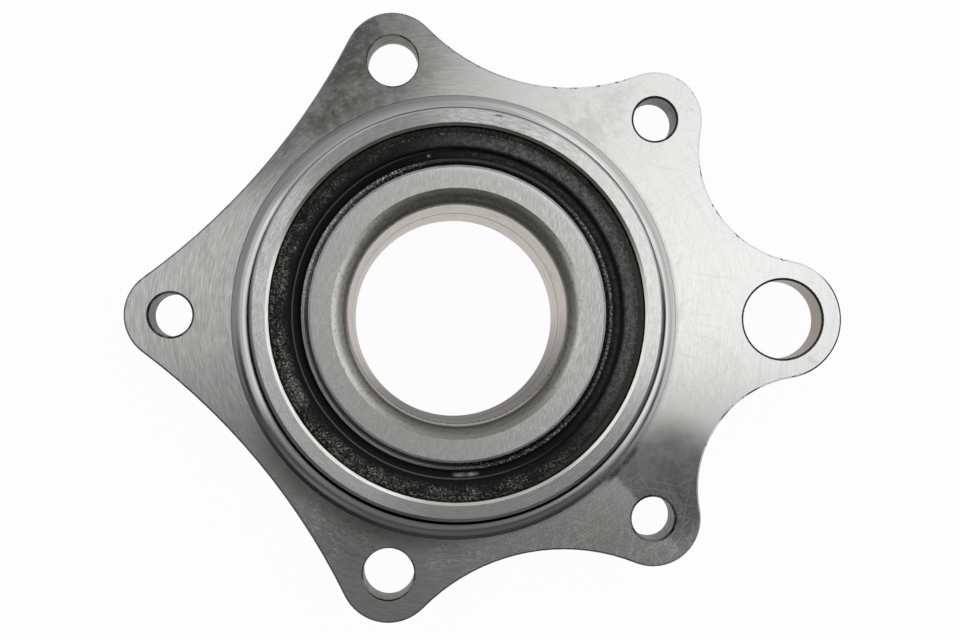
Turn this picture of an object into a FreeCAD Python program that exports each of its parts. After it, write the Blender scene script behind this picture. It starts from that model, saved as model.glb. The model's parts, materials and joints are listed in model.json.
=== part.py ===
"""Flanged wheel hub bearing: double row of balls, one-piece outer ring with a six-hole flange.

Millimetres. +Z runs along the bore axis towards the spigot end, +X towards the large hole of
the flange. The origin is on the axis, in the flange's mounting face.
"""
import FreeCAD, Part
import math
import os

import Sketcher

doc = FreeCAD.newDocument("WheelHubBearing")
FORWARD = FreeCAD.Vector(0, 0, 1)
TOUCHING = 0.01  # places closer than this, in mm, are one place

# Driving dimensions: name, value in mm (or degrees, or a count), meaning
DRIVING = [
    ("bore_diameter", 45.0, "shaft bore of both inner rings"),
    ("ball_diameter", 12.7, "half inch balls"),
    ("balls_per_row", 13, "count of balls in each row"),
    ("contact_angle", 36.0, "degrees from the radial plane, back to back"),
    ("groove_radius_ratio", 0.52, "raceway groove radius over ball diameter"),
    ("ball_clearance", 0.08, "gap between ball and raceway at the contact"),
    ("inner_ring_wall", 4.15, "from the bore to the bottom of a ball"),
    ("outer_ring_wall", 3.15, "from the top of a ball to the outside of the spigot"),
    ("half_row_gap", 2.25, "from the mid plane to the edge of a ball row"),
    ("cage_rim", 1.55, "cage material beyond the balls, on the seal side"),
    ("cage_to_seal_gap", 0.4, "free space between cage and seal"),
    ("seal_seat_depth", 5.8, "depth of the counterbore for the seal"),
    ("seal_seat_wall", 4.0, "outer ring wall around the seal seat"),
    ("low_shoulder_step", 0.4, "outer ring low shoulder below the seal seat"),
    ("centre_rib_height", 2.75, "outer ring rib between the rows, below the ball tops"),
    ("land_height", 3.75, "inner ring land above the bottom of a ball"),
    ("inner_low_height", 1.55, "inner ring low shoulder above the bottom of a ball"),
    ("inner_face_recess", 0.2, "inner ring face below the outer ring face"),
    ("bore_corner", 3.2, "lead-in of the bore, radial and axial"),
    ("bore_corner_crown", 4.6, "radius of the crowned flank of the lead-in"),
    ("land_chamfer", 0.5, "outer corner of the inner ring face"),
    ("joint_chamfer", 0.4, "bore corner where the two inner rings meet"),
    ("clip_groove_offset", 1.3, "clip groove from the joint of the inner rings"),
    ("clip_groove_width", 1.1, "width of each clip groove"),
    ("clip_groove_depth", 0.6, "depth of each clip groove"),
    ("clip_thickness", 0.5, "thickness of the clip's band"),
    ("clip_clearance", 0.05, "play of the clip on the inner rings"),
    ("spigot_chamfer", 0.8, "radial size of the lead-in chamfer on the spigot"),
    ("spigot_chamfer_length", 1.5, "axial size of the lead-in chamfer on the spigot"),
    ("seat_chamfer", 0.6, "corner of the seal seat at the ring face"),
    ("flange_thickness", 10.0, "thickness of the flange"),
    ("collar_height", 6.2, "collar behind the flange"),
    ("collar_wall", 2.5, "collar radius beyond the spigot radius"),
    ("collar_fillet", 2.5, "fillet between collar and flange"),
    ("collar_chamfer", 1.0, "outer corner of the collar"),
    ("relief_width", 7.05, "turned relief around the spigot root"),
    ("relief_depth", 0.25, "relief floor below the mounting face"),
    ("root_fillet", 6.2, "fillet between spigot and relief floor"),
    ("edge_break", 0.4, "chamfer around the flange outline"),
    ("bolt_land", 8.85, "flange face between the relief and each hole of the narrow pair"),
    ("bolt_angle", 45.0, "degrees from +X to the pair of narrow bolt holes"),
    ("bolt_hole", 9.6, "diameter of the narrow bolt holes"),
    ("bolt_rim", 5.9, "flange material around each hole of the narrow pair"),
    ("tail_land", 8.55, "flange face between the relief and the narrow hole at the tail"),
    ("tail_rim", 5.5, "flange material around the narrow hole at the tail"),
    ("wide_land", 3.6, "flange face between the relief and a wide bolt hole"),
    ("wide_angle", 104.0, "degrees from +X to the wide bolt holes"),
    ("wide_hole", 11.4, "diameter of the wide bolt holes"),
    ("wide_rim", 5.15, "flange material around a wide bolt hole"),
    ("sensor_land", 15.35, "flange face between the relief and the large hole"),
    ("sensor_hole", 17.7, "diameter of the large hole"),
    ("sensor_rim", 4.45, "flange material around the large hole"),
    ("hole_chamfer", 0.5, "chamfer of the narrow and large holes"),
    ("wide_hole_chamfer", 0.3, "chamfer of the wide bolt holes"),
    ("waist_tail", 150.0, "concave edge between the tail hole and a wide hole"),
    ("waist_side", 44.0, "concave edge between a wide and a narrow hole"),
    ("waist_nose", 25.2, "concave edge between a narrow hole and the large one"),
    ("cage_inner_gap", 0.8, "cage bore above the inner ring land"),
    ("cage_radial", 4.2, "radial thickness of the cage"),
    ("cage_pocket_clearance", 0.12, "gap between ball and cage pocket"),
    ("cage_prong", 3.4, "cage prongs past the ball centres"),
    ("cage_slot_width", 1.6, "slot that parts two prongs"),
    ("cage_slot_depth", 2.6, "depth of that slot"),
    ("cage_recess_depth", 4.2, "moulded recess between two pockets, from the cage's rim face"),
    ("cage_recess_width", 2.6, "width of that recess around the axis"),
    ("cage_recess_wall", 1.0, "cage wall inside and outside that recess"),
    ("seal_inset", 0.5, "rubber face below the ring face"),
    ("rubber_skin", 0.4, "rubber over the seal case"),
    ("case_thickness", 0.6, "sheet thickness of the seal case"),
    ("case_leg_gap", 4.2, "seal case opening above the inner ring land"),
    ("case_rim", 1.4, "bare rim of the case outside the rubber"),
    ("rubber_bead", 0.6, "rubber around the inner edge of the case"),
    ("dust_lip_drop", 0.9, "tip of the dust lip below the bead"),
    ("lip_taper", 0.1, "slant of a lip's short faces"),
    ("slinger_thickness", 0.6, "sheet thickness of the slinger"),
    ("slinger_inset", 0.8, "slinger edge below the ring face"),
    ("slinger_flare", 0.8, "outward flare of the slinger's edge"),
    ("slinger_flare_length", 1.1, "axial length of the flare"),
    ("slinger_floor", 0.6, "slinger flange above the floor of the seal seat"),
    ("slinger_tip_gap", 1.0, "slinger flange to the seal case"),
    ("lip_clearance", 0.12, "gap between a rubber lip and the slinger"),
    ("lip_thickness", 0.4, "thickness of a lip at its tip"),
]

sheet = doc.addObject("Spreadsheet::Sheet", "Sizes")
for row, (alias, value, meaning) in enumerate(DRIVING, start=1):
    sheet.set(f"A{row}", meaning)
    sheet.set(f"B{row}", str(value))
    sheet.setAlias(f"B{row}", alias)
doc.recompute()


class Size:
    """A number together with the sheet formula that gives it."""

    def __init__(self, number, formula):
        self.number = float(number)
        self.formula = formula

    def __add__(self, other):
        other = as_size(other)
        return Size(self.number + other.number, f"({self.formula} + {other.formula})")

    def __sub__(self, other):
        other = as_size(other)
        return Size(self.number - other.number, f"({self.formula} - {other.formula})")

    def __mul__(self, other):
        other = as_size(other)
        return Size(self.number * other.number, f"({self.formula} * {other.formula})")

    def __truediv__(self, other):
        other = as_size(other)
        return Size(self.number / other.number, f"({self.formula} / {other.formula})")

    def __neg__(self):
        return Size(-self.number, f"(0 - {self.formula})")


def as_size(value):
    """A plain number as a Size."""
    if isinstance(value, Size):
        return value
    return Size(value, str(value))


def sized(alias):
    """The Size kept in the sheet under this alias."""
    return Size(sheet.get(alias), f"Sizes.{alias}")


def cosine(angle):
    """Cosine of a Size in degrees."""
    return Size(math.cos(math.radians(angle.number)), f"cos({angle.formula} * 1 deg)")


def sine(angle):
    """Sine of a Size in degrees."""
    return Size(math.sin(math.radians(angle.number)), f"sin({angle.formula} * 1 deg)")


# Sizes that follow from the driving ones
bore_radius = sized("bore_diameter") / 2
ball_radius = sized("ball_diameter") / 2
pitch_radius = bore_radius + sized("inner_ring_wall") + ball_radius
spigot_radius = pitch_radius + ball_radius + sized("outer_ring_wall")
row_offset = sized("half_row_gap") + ball_radius
cage_face = row_offset + ball_radius + sized("cage_rim")
seat_floor = cage_face + sized("cage_to_seal_gap")
half_width = seat_floor + sized("seal_seat_depth")
ring_width = half_width * 2
seat_radius = spigot_radius - sized("seal_seat_wall")
land_radius = pitch_radius - ball_radius + sized("land_height")
low_radius = pitch_radius - ball_radius + sized("inner_low_height")
rib_radius = pitch_radius + ball_radius - sized("centre_rib_height")
outer_low_radius = seat_radius - sized("low_shoulder_step")
groove_radius = sized("ball_diameter") * sized("groove_radius_ratio")
groove_shift = groove_radius - ball_radius - sized("ball_clearance")
shift_out = groove_shift * cosine(sized("contact_angle"))
shift_along = groove_shift * sine(sized("contact_angle"))
flange_back = sized("collar_height")
flange_front = flange_back + sized("flange_thickness")
mid_plane = half_width - flange_front
relief_radius = spigot_radius + sized("relief_width")
slinger_outside = land_radius + sized("slinger_thickness")


class Arc:
    """The arc that leaves a corner of a profile: its centre or just its radius, and its turn."""

    def __init__(self, radius, turn, centre=None):
        self.radius = radius
        self.turn = turn
        self.centre = centre


def origin_plane(body, role):
    """One of the body's own origin planes or axes."""
    for feature in body.Origin.OriginFeatures:
        if feature.Role == role:
            return feature
    raise ValueError(role)


def new_body(label):
    """An empty body with its label."""
    body = doc.addObject("PartDesign::Body", label)
    body.Label = label
    return body


def new_sketch(body, name, role, height=None):
    """A sketch on one of the body's own planes, raised by a height if one is given."""
    sketch = body.newObject("Sketcher::SketchObject", name)
    sketch.AttachmentSupport = [(origin_plane(body, role), "")]
    sketch.MapMode = "FlatFace"
    if height is not None:
        sketch.setExpression("AttachmentOffset.Base.z", height.formula)
    return sketch


def bind(sketch, constraint, size):
    """Add a constraint with a value and tie the value to the sheet."""
    index = sketch.addConstraint(constraint)
    sketch.setExpression(f"Constraints[{index}]", size.formula)


def place_point(sketch, edge, end, x, y):
    """Hold one point of the sketch at x and y, where they are given as sizes."""
    if isinstance(x, Size):
        bind(sketch, Sketcher.Constraint("DistanceX", -1, 1, edge, end, x.number), x)
    if isinstance(y, Size):
        bind(sketch, Sketcher.Constraint("DistanceY", -1, 1, edge, end, y.number), y)
    elif y == 0:
        sketch.addConstraint(Sketcher.Constraint("PointOnObject", edge, end, -1))


def number_of(value):
    """The number in a Size or in a plain number."""
    return value.number if isinstance(value, Size) else float(value)


def vector_of(point):
    """A sketch point as a vector."""
    return FreeCAD.Vector(number_of(point[0]), number_of(point[1]), 0)


def arc_centre(start, end, radius, turn):
    """The centre of an arc of less than half a turn between two points."""
    chord = end - start
    half = chord.Length / 2
    rise = math.sqrt(max(radius * radius - half * half, 0.0))
    side = FreeCAD.Vector(-chord.y, chord.x, 0).normalize()
    return start + chord * 0.5 + side * (rise if turn == "left" else -rise)


def closed_profile(sketch, corners):
    """Draw a closed chain of lines and arcs.

    A corner is (x, y) or (x, y, Arc). A coordinate given as a Size is held there. A plain number
    is only where the solver starts, and the edges that meet there decide the place.
    """
    first = sketch.GeometryCount
    count = len(corners)
    ends = []
    for index, corner in enumerate(corners):
        start = vector_of(corner)
        end = vector_of(corners[(index + 1) % count])
        arc = corner[2] if len(corner) > 2 else None
        if arc is None:
            sketch.addGeometry(Part.LineSegment(start, end), False)
            ends.append((1, 2))
            continue
        radius = arc.radius.number
        if arc.centre is not None:
            centre = vector_of(arc.centre)
        else:
            centre = arc_centre(start, end, radius, arc.turn)
        low, high = (start, end) if arc.turn == "left" else (end, start)
        low_angle = math.atan2(low.y - centre.y, low.x - centre.x)
        high_angle = math.atan2(high.y - centre.y, high.x - centre.x)
        if high_angle < low_angle:
            high_angle += 2 * math.pi
        circle = Part.Circle(centre, FORWARD, radius)
        sketch.addGeometry(Part.ArcOfCircle(circle, low_angle, high_angle), False)
        ends.append((1, 2) if arc.turn == "left" else (2, 1))
    for index in range(count):
        before = (index - 1) % count
        sketch.addConstraint(
            Sketcher.Constraint("Coincident", first + before, ends[before][1],
                                first + index, ends[index][0]))
    for index, corner in enumerate(corners):
        place_point(sketch, first + index, ends[index][0], corner[0], corner[1])
        arc = corner[2] if len(corner) > 2 else None
        if arc is None:
            continue
        bind(sketch, Sketcher.Constraint("Radius", first + index, arc.radius.number), arc.radius)
        if arc.centre is not None:
            place_point(sketch, first + index, 3, arc.centre[0], arc.centre[1])


def revolved(body, name, corners):
    """A turned solid: the profile lies right of the axis, in the XZ plane."""
    sketch = new_sketch(body, name + "Section", "XZ_Plane")
    closed_profile(sketch, corners)
    doc.recompute()
    turned = body.newObject("PartDesign::Revolution", name)
    turned.Profile = sketch
    turned.ReferenceAxis = (sketch, ["V_Axis"])
    turned.Angle = 360
    doc.recompute()
    return turned


def seat(body, height, flipped=False):
    """Put a body on the axis. A flipped one faces the rear."""
    if flipped:
        body.Placement.Rotation = FreeCAD.Rotation(FreeCAD.Vector(1, 0, 0), 180)
    body.setExpression("Placement.Base.z", height.formula)


def groove_crossing(centre_r, centre_z, radius_at, side):
    """Height at which a groove circle crosses a cylinder, on one side of its centre."""
    reach = groove_radius.number ** 2 - (radius_at.number - centre_r.number) ** 2
    return centre_z.number + side * math.sqrt(reach)


# Flanged outer ring
def outer_ring_section():
    """Half section of the turned body of the outer ring, from its rear face at height 0."""
    rear_floor = sized("seal_seat_depth")
    front_floor = ring_width - sized("seal_seat_depth")
    groove_r = pitch_radius - shift_out
    rear_z = half_width - row_offset - shift_along
    front_z = half_width + row_offset + shift_along
    collar_radius = spigot_radius + sized("collar_wall")
    relief_floor = flange_front - sized("relief_depth")
    fillet = sized("root_fillet")
    mouth = seat_radius + sized("seat_chamfer")
    front_groove = Arc(groove_radius, "right", (groove_r, front_z))
    rear_groove = Arc(groove_radius, "right", (groove_r, rear_z))
    collar_arc = Arc(sized("collar_fillet"), "right")
    root_arc = Arc(fillet, "right")
    return [
        (collar_radius - sized("collar_chamfer"), 0),
        (collar_radius, sized("collar_chamfer")),
        (collar_radius, flange_back - sized("collar_fillet"), collar_arc),
        (collar_radius + sized("collar_fillet"), flange_back),
        (relief_radius, flange_back),
        (relief_radius, relief_floor),
        (spigot_radius + fillet, relief_floor, root_arc),
        (spigot_radius, relief_floor + fillet),
        (spigot_radius, ring_width - sized("spigot_chamfer_length")),
        (spigot_radius - sized("spigot_chamfer"), ring_width),
        (mouth, ring_width),
        (seat_radius, ring_width - sized("seat_chamfer")),
        (seat_radius, front_floor),
        (outer_low_radius, front_floor),
        (outer_low_radius, groove_crossing(groove_r, front_z, outer_low_radius, 1), front_groove),
        (rib_radius, groove_crossing(groove_r, front_z, rib_radius, -1)),
        (rib_radius, groove_crossing(groove_r, rear_z, rib_radius, 1), rear_groove),
        (outer_low_radius, groove_crossing(groove_r, rear_z, outer_low_radius, -1)),
        (outer_low_radius, rear_floor),
        (seat_radius, rear_floor),
        (seat_radius, sized("seat_chamfer")),
        (mouth, 0),
    ]


class Lobe:
    """A rounded ear of the flange around one hole, which lies a land's width past the relief."""

    def __init__(self, angle, land, hole, rim):
        reach = relief_radius + land + hole / 2
        self.x = reach * cosine(angle)
        self.y = reach * sine(angle)
        self.radius = hole / 2 + rim
        self.hole = hole


def flange_lobes():
    """The six ears in order, counter-clockwise from the large hole."""
    narrow = (sized("bolt_land"), sized("bolt_hole"), sized("bolt_rim"))
    tail = (sized("tail_land"), sized("bolt_hole"), sized("tail_rim"))
    wide = (sized("wide_land"), sized("wide_hole"), sized("wide_rim"))
    large = (sized("sensor_land"), sized("sensor_hole"), sized("sensor_rim"))
    side = sized("bolt_angle")
    top = sized("wide_angle")
    return [
        Lobe(as_size(0), *large),
        Lobe(side, *narrow),
        Lobe(top, *wide),
        Lobe(as_size(180), *tail),
        Lobe(as_size(360) - top, *wide),
        Lobe(as_size(360) - side, *narrow),
    ]


def height_or_axis(lobe):
    """The ear's Y as a Size, or plain 0 where it lies on the X axis."""
    return lobe.y if abs(lobe.y.number) > TOUCHING else 0


def waist_between(lobe, following, radius):
    """Centre of the concave arc that touches two ears, and its two touching points."""
    start = vector_of((lobe.x, lobe.y))
    end = vector_of((following.x, following.y))
    span = (end - start).Length
    reach_a = lobe.radius.number + radius
    reach_b = following.radius.number + radius
    along = (reach_a ** 2 - reach_b ** 2 + span ** 2) / (2 * span)
    away = math.sqrt(reach_a ** 2 - along ** 2)
    unit = (end - start).normalize()
    outward = FreeCAD.Vector(unit.y, -unit.x, 0)
    centre = start + unit * along + outward * away
    touch_a = start + (centre - start) * (lobe.radius.number / reach_a)
    touch_b = end + (centre - end) * (following.radius.number / reach_b)
    return centre, touch_a, touch_b


def add_arc(sketch, centre, radius, low, high):
    """An arc that runs counter-clockwise from one point to the other."""
    low_angle = math.atan2(low.y - centre.y, low.x - centre.x)
    high_angle = math.atan2(high.y - centre.y, high.x - centre.x)
    if high_angle < low_angle:
        high_angle += 2 * math.pi
    circle = Part.Circle(centre, FORWARD, radius)
    return sketch.addGeometry(Part.ArcOfCircle(circle, low_angle, high_angle), False)


def draw_flange_outline(sketch, lobes):
    """Ears joined by concave arcs, all tangent to each other."""
    waists = [sized("waist_nose"), sized("waist_side"), sized("waist_tail"),
              sized("waist_tail"), sized("waist_side"), sized("waist_nose")]
    count = len(lobes)
    touches = []
    for index, lobe in enumerate(lobes):
        touches.append(waist_between(lobe, lobes[(index + 1) % count], waists[index].number))
    ears = []
    hollows = []
    for index, lobe in enumerate(lobes):
        centre = vector_of((lobe.x, lobe.y))
        arrive = touches[index - 1][2]
        leave = touches[index][1]
        ears.append(add_arc(sketch, centre, lobe.radius.number, arrive, leave))
    for index in range(count):
        centre, leave, arrive = touches[index]
        hollows.append(add_arc(sketch, centre, waists[index].number, arrive, leave))
    for index, lobe in enumerate(lobes):
        place_point(sketch, ears[index], 3, lobe.x, height_or_axis(lobe))
        bind(sketch, Sketcher.Constraint("Radius", ears[index], lobe.radius.number), lobe.radius)
    for index in range(count):
        following = (index + 1) % count
        sketch.addConstraint(Sketcher.Constraint("Tangent", ears[index], 2, hollows[index], 2))
        sketch.addConstraint(Sketcher.Constraint("Tangent", hollows[index], 1, ears[following], 1))
        waist = waists[index]
        bind(sketch, Sketcher.Constraint("Radius", hollows[index], waist.number), waist)


def drill(body, name, lobes, height):
    """Round holes right through the flange, at the centres of the given ears."""
    sketch = new_sketch(body, name + "Places", "XY_Plane", height)
    for lobe in lobes:
        circle = Part.Circle(vector_of((lobe.x, lobe.y)), FORWARD, lobe.hole.number / 2)
        index = sketch.addGeometry(circle, False)
        place_point(sketch, index, 3, lobe.x, height_or_axis(lobe))
        bind(sketch, Sketcher.Constraint("Diameter", index, lobe.hole.number), lobe.hole)
    doc.recompute()
    before = body.Shape.Volume
    holes = body.newObject("PartDesign::Pocket", name)
    holes.Profile = sketch
    holes.Type = "ThroughAll"
    holes.Midplane = True
    doc.recompute()
    if holes.Shape.Volume >= before:
        raise RuntimeError(name + " cut nothing")
    return holes


def chamfer_edges(body, name, base, size, wanted):
    """Chamfer the edges of a feature for which wanted(edge) holds."""
    edges = []
    for index, edge in enumerate(base.Shape.Edges, start=1):
        if wanted(edge):
            edges.append(f"Edge{index}")
    chamfer = body.newObject("PartDesign::Chamfer", name)
    chamfer.Base = (base, edges)
    chamfer.Size = size.number
    chamfer.setExpression("Size", size.formula)
    doc.recompute()
    return chamfer


def is_hole_edge(edge, lobes):
    """Whether an edge is the rim of one of these holes."""
    if not isinstance(edge.Curve, Part.Circle):
        return False
    centre = edge.Curve.Center
    for lobe in lobes:
        off_centre = math.hypot(centre.x - lobe.x.number, centre.y - lobe.y.number)
        off_size = abs(edge.Curve.Radius - lobe.hole.number / 2)
        if max(off_centre, off_size) < TOUCHING:
            return True
    return False


def is_outline_edge(edge):
    """Whether an edge of the plate lies in one of its faces and isn't the round inside edge."""
    if edge.BoundBox.ZLength > TOUCHING:
        return False
    centre = edge.Curve.Center
    return math.hypot(centre.x, centre.y) > TOUCHING


def make_flanged_outer_ring():
    """One-piece outer ring: flange with six holes, spigot, collar, raceways and seal seats."""
    body = new_body("flanged_outer_ring")
    lobes = flange_lobes()
    outline = new_sketch(body, "FlangeOutline", "XY_Plane", flange_back)
    draw_flange_outline(outline, lobes)
    inner = outline.addGeometry(
        Part.Circle(FreeCAD.Vector(0, 0, 0), FORWARD, relief_radius.number), False)
    outline.addConstraint(Sketcher.Constraint("Coincident", inner, 3, -1, 1))
    bind(outline, Sketcher.Constraint("Radius", inner, relief_radius.number), relief_radius)
    doc.recompute()
    plate = body.newObject("PartDesign::Pad", "FlangePlate")
    plate.Profile = outline
    plate.setExpression("Length", sized("flange_thickness").formula)
    doc.recompute()
    edged = chamfer_edges(body, "OutlineBreak", plate, sized("edge_break"), is_outline_edge)
    revolved(body, "TurnedBody", outer_ring_section())
    middle = flange_back + sized("flange_thickness") / 2
    drill(body, "NarrowHoles", [lobes[1], lobes[3], lobes[5]], middle)
    drill(body, "WideHoles", [lobes[2], lobes[4]], middle)
    holes = drill(body, "LargeHole", [lobes[0]], middle)
    narrow_and_large = [lobes[0], lobes[1], lobes[3], lobes[5]]
    narrow = chamfer_edges(body, "HoleChamfers", holes, sized("hole_chamfer"),
                           lambda edge: is_hole_edge(edge, narrow_and_large))
    chamfer_edges(body, "WideHoleChamfers", narrow, sized("wide_hole_chamfer"),
                  lambda edge: is_hole_edge(edge, [lobes[2], lobes[4]]))
    seat(body, -flange_front)
    return body


# Inner rings and the clip that holds them together
def inner_ring_section():
    """Half section of one inner ring, from the joint of the rings at height 0."""
    face = half_width - sized("inner_face_recess")
    corner = sized("bore_corner")
    crown = Arc(sized("bore_corner_crown"), "left")
    groove_r = pitch_radius + shift_out
    groove_z = row_offset - shift_along
    clip_radius = low_radius - sized("clip_groove_depth")
    clip_near = sized("clip_groove_offset")
    clip_far = clip_near + sized("clip_groove_width")
    groove = Arc(groove_radius, "right", (groove_r, groove_z))
    return [
        (bore_radius + sized("joint_chamfer"), 0),
        (low_radius, 0),
        (low_radius, clip_near),
        (clip_radius, clip_near),
        (clip_radius, clip_far),
        (low_radius, clip_far),
        (low_radius, groove_crossing(groove_r, groove_z, low_radius, -1), groove),
        (land_radius, groove_crossing(groove_r, groove_z, land_radius, 1)),
        (land_radius, face - sized("land_chamfer")),
        (land_radius - sized("land_chamfer"), face),
        (bore_radius + corner, face, crown),
        (bore_radius, face - corner),
        (bore_radius, sized("joint_chamfer")),
    ]


def make_inner_ring(label, flipped):
    """One of the two inner rings."""
    body = new_body(label)
    revolved(body, label.title().replace("_", ""), inner_ring_section())
    seat(body, mid_plane, flipped)
    return body


def make_ring_clip():
    """Channel-shaped clip whose two lips snap into the grooves of the inner rings."""
    body = new_body("inner_ring_clip")
    play = sized("clip_clearance")
    band_inside = low_radius + play
    band_outside = band_inside + sized("clip_thickness")
    lip_inside = low_radius - sized("clip_groove_depth") + play
    lip_near = sized("clip_groove_offset") + play
    lip_far = sized("clip_groove_offset") + sized("clip_groove_width") - play
    corners = [
        (lip_inside, lip_near),
        (lip_inside, lip_far),
        (band_outside, lip_far),
        (band_outside, -lip_far),
        (lip_inside, -lip_far),
        (lip_inside, -lip_near),
        (band_inside, -lip_near),
        (band_inside, lip_near),
    ]
    revolved(body, "ClipBand", corners)
    seat(body, mid_plane)
    return body


# Balls and cages
def make_ball(label, index, side):
    """One ball of a row. Side is 1 for the front row and -1 for the rear row."""
    ball = doc.addObject("Part::Sphere", label)
    ball.Label = label
    ball.setExpression("Radius", ball_radius.formula)
    turn = as_size(360) * as_size(index) / sized("balls_per_row")
    across = pitch_radius * cosine(turn)
    upward = pitch_radius * sine(turn)
    along = mid_plane + row_offset * side
    ball.setExpression("Placement.Base.x", across.formula)
    ball.setExpression("Placement.Base.y", upward.formula)
    ball.setExpression("Placement.Base.z", along.formula)
    return ball


def cut_between_pockets(body, name, height, corners, depth, upward):
    """Cut a shape, drawn about +X, halfway between two ball pockets of a cage."""
    half_turn = as_size(180) / sized("balls_per_row")
    sketch = new_sketch(body, name + "Shape", "XY_Plane", height)
    sketch.setExpression("AttachmentOffset.Rotation.Angle", half_turn.formula)
    closed_profile(sketch, corners)
    doc.recompute()
    before = body.Shape.Volume
    cut = body.newObject("PartDesign::Pocket", name)
    cut.Profile = sketch
    cut.Reversed = upward
    cut.setExpression("Length", depth.formula)
    doc.recompute()
    if body.Shape.Volume >= before:
        raise RuntimeError(name + " cut nothing")
    return cut


def make_cage(label, flipped):
    """Snap-in cage: a ring with one round pocket for each ball, slots between the prongs and
    moulded recesses in the rim."""
    body = new_body(label)
    inside = land_radius + sized("cage_inner_gap")
    outside = inside + sized("cage_radial")
    prong_end = row_offset - sized("cage_prong")
    corners = [(inside, prong_end), (outside, prong_end), (outside, cage_face), (inside, cage_face)]
    revolved(body, "CageRing", corners)
    before = body.Shape.Volume
    pocket = body.newObject("PartDesign::SubtractiveSphere", "BallPocket")
    pocket.setExpression("Radius", (ball_radius + sized("cage_pocket_clearance")).formula)
    pocket.Placement.Base = FreeCAD.Vector(pitch_radius.number, 0, row_offset.number)
    pocket.setExpression("Placement.Base.x", pitch_radius.formula)
    pocket.setExpression("Placement.Base.z", row_offset.formula)
    doc.recompute()
    one_pocket = before - body.Shape.Volume
    count = int(sized("balls_per_row").number)
    half_slot = sized("cage_slot_width") / 2
    near = inside - half_slot
    far = outside + half_slot
    slot = cut_between_pockets(
        body, "ProngSlot", prong_end,
        [(near, -half_slot), (far, -half_slot), (far, half_slot), (near, half_slot)],
        sized("cage_slot_depth"), True)
    half_recess = sized("cage_recess_width") / 2
    near = inside + sized("cage_recess_wall")
    far = outside - sized("cage_recess_wall")
    recess = cut_between_pockets(
        body, "RimRecess", cage_face,
        [(near, -half_recess), (far, -half_recess), (far, half_recess), (near, half_recess)],
        sized("cage_recess_depth"), False)
    pattern = body.newObject("PartDesign::PolarPattern", "PocketPattern")
    pattern.Originals = [pocket, slot, recess]
    pattern.Axis = (origin_plane(body, "Z_Axis"), [""])
    pattern.Angle = 360
    pattern.Occurrences = count
    body.Tip = pattern
    doc.recompute()
    if before - body.Shape.Volume < one_pocket * count:
        raise RuntimeError(label + " lacks pockets")
    seat(body, mid_plane, flipped)
    return body


# Seals: a pressed case with bonded rubber in the outer ring, and a slinger on the inner ring
def make_seal_case(label, flipped):
    """Angled steel ring pressed into the seal seat."""
    body = new_body(label)
    sheet_gauge = sized("case_thickness")
    front = half_width - sized("seal_inset") - sized("rubber_skin")
    inner_edge = land_radius + sized("case_leg_gap")
    bend = Arc(sheet_gauge, "left")
    corners = [
        (seat_radius, seat_floor),
        (seat_radius, front - sheet_gauge, bend),
        (seat_radius - sheet_gauge, front),
        (inner_edge, front),
        (inner_edge, front - sheet_gauge),
        (seat_radius - sheet_gauge, front - sheet_gauge),
        (seat_radius - sheet_gauge, seat_floor),
    ]
    revolved(body, "CaseShell", corners)
    seat(body, mid_plane, flipped)
    return body


def make_seal_rubber(label, flipped):
    """Rubber bonded to the case: outer face, inner bead, dust lip and side lip."""
    body = new_body(label)
    skin = sized("rubber_skin")
    bead = sized("rubber_bead")
    lip = sized("lip_thickness")
    taper = sized("lip_taper")
    gap = sized("lip_clearance")
    face = half_width - sized("seal_inset")
    case_front = face - skin
    case_back = case_front - sized("case_thickness")
    case_edge = land_radius + sized("case_leg_gap")
    bead_edge = case_edge - bead
    rim = seat_radius - sized("case_rim")
    tip_radius = slinger_outside + gap
    slinger_top = seat_floor + sized("slinger_floor") + sized("slinger_thickness")
    side_tip = slinger_top + gap
    bead_back = case_back - bead
    dust_top = bead_back - sized("dust_lip_drop")
    corners = [
        (rim, case_front),
        (rim - skin / 2, face),
        (bead_edge + skin, face),
        (bead_edge, case_front),
        (bead_edge - taper, bead_back),
        (tip_radius + lip, dust_top + taper),
        (tip_radius, dust_top),
        (tip_radius, dust_top - lip),
        (tip_radius + lip, dust_top - lip),
        (bead_edge - taper, bead_back - bead),
        (bead_edge - lip, side_tip + lip),
        (bead_edge, side_tip),
        (bead_edge + lip, side_tip + taper),
        (case_edge + bead / 2, bead_back),
        (case_edge + bead / 2, case_back),
        (case_edge, case_back),
        (case_edge, case_front),
    ]
    revolved(body, "RubberLips", corners)
    seat(body, mid_plane, flipped)
    return body


def make_slinger(label, flipped):
    """Angled steel ring on the inner ring land, with a flared outer edge."""
    body = new_body(label)
    sheet_gauge = sized("slinger_thickness")
    top = half_width - sized("slinger_inset")
    bottom = seat_floor + sized("slinger_floor")
    flare = sized("slinger_flare")
    flare_foot = top - sized("slinger_flare_length")
    tip = seat_radius - sized("case_thickness") - sized("slinger_tip_gap")
    corners = [
        (land_radius, bottom),
        (tip, bottom),
        (tip, bottom + sheet_gauge),
        (slinger_outside, bottom + sheet_gauge),
        (slinger_outside, flare_foot - sheet_gauge / 4),
        (slinger_outside + flare, top - sheet_gauge / 2),
        (slinger_outside + flare, top),
        (land_radius + flare, top),
        (land_radius, flare_foot),
    ]
    revolved(body, "SlingerSheet", corners)
    seat(body, mid_plane, flipped)
    return body


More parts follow.
